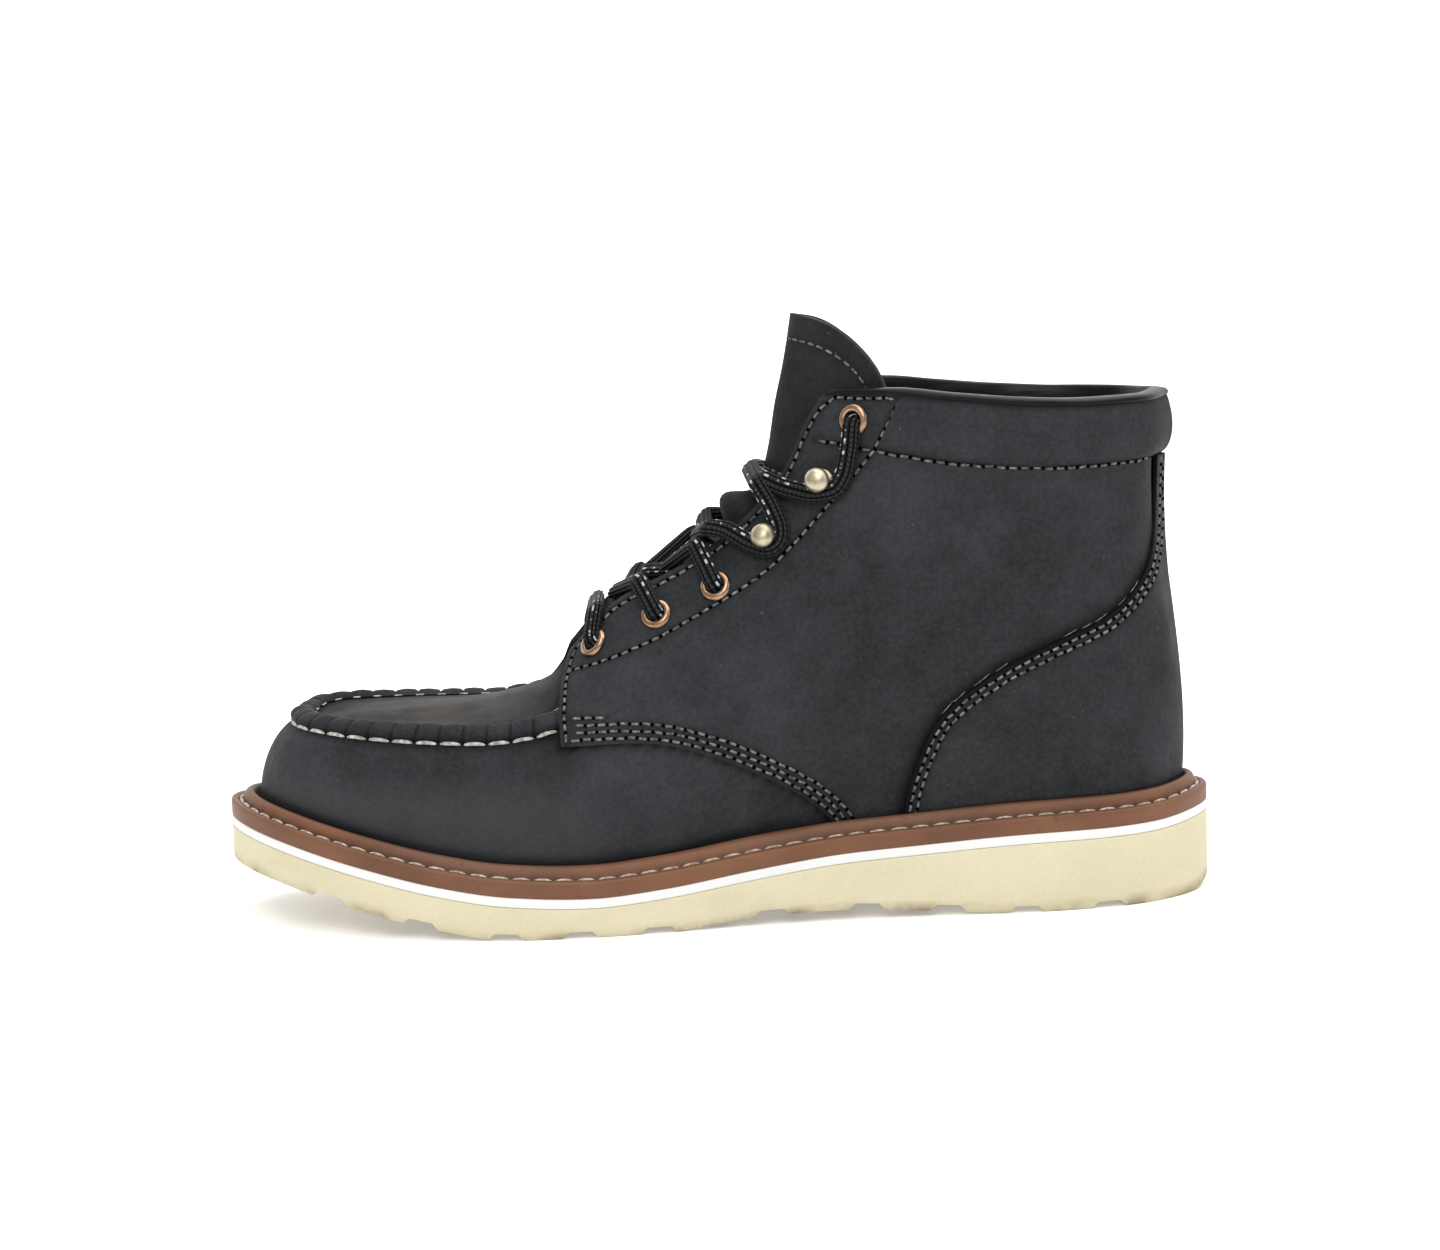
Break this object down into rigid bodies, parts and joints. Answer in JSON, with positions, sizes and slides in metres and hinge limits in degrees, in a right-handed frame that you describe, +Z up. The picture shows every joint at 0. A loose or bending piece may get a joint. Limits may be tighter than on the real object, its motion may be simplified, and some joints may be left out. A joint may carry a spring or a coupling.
{
  "type": "work boot",
  "caption": "Lace-up moc-toe work boot in black leather with a padded collar, brown storm welt and thick cream wedge sole.",
  "frame": {"origin": "on the floor, under the middle of the boot's bounding box", "axes": "+X to the toe, +Y to the outer (lateral) side, +Z up"},
  "size_m": [0.308, 0.1078, 0.1835],
  "materials": {
    "black_leather": "oiled nubuck, matte with a soft sheen",
    "black_binding": "smooth, slightly glossy",
    "cream_rubber": "matte, slightly dirty",
    "white_rubber": "matte",
    "brown_welt": "smooth, satin",
    "tan_board": "matte",
    "antique_copper": "antique copper plating",
    "antique_brass": "pale antique brass plating",
    "lace_cord": "braided, matte"
  },
  "bodies": {
    "root": {"outsole": "cream_rubber", "midsole": "white_rubber", "welt": "brown_welt", "insole": "tan_board", "upper": "black_leather", "quarter_lateral": "black_leather", "quarter_medial": "black_leather", "counter": "black_leather", "collar_cuff": "black_leather", "collar_binding": "black_binding", "moc_seam": "black_leather", "tongue": "black_leather", "eyelet_lateral_1": "antique_copper", "eyelet_lateral_2": "antique_copper", "eyelet_lateral_3": "antique_copper", "eyelet_lateral_4": "antique_copper", "lace_stud_lateral_1": "antique_brass", "lace_stud_lateral_2": "antique_brass", "eyelet_medial_1": "antique_copper", "eyelet_medial_2": "antique_copper", "eyelet_medial_3": "antique_copper", "eyelet_medial_4": "antique_copper", "lace_stud_medial_1": "antique_brass", "lace_stud_medial_2": "antique_brass", "laces": "lace_cord"}
  },
  "joints": []
}
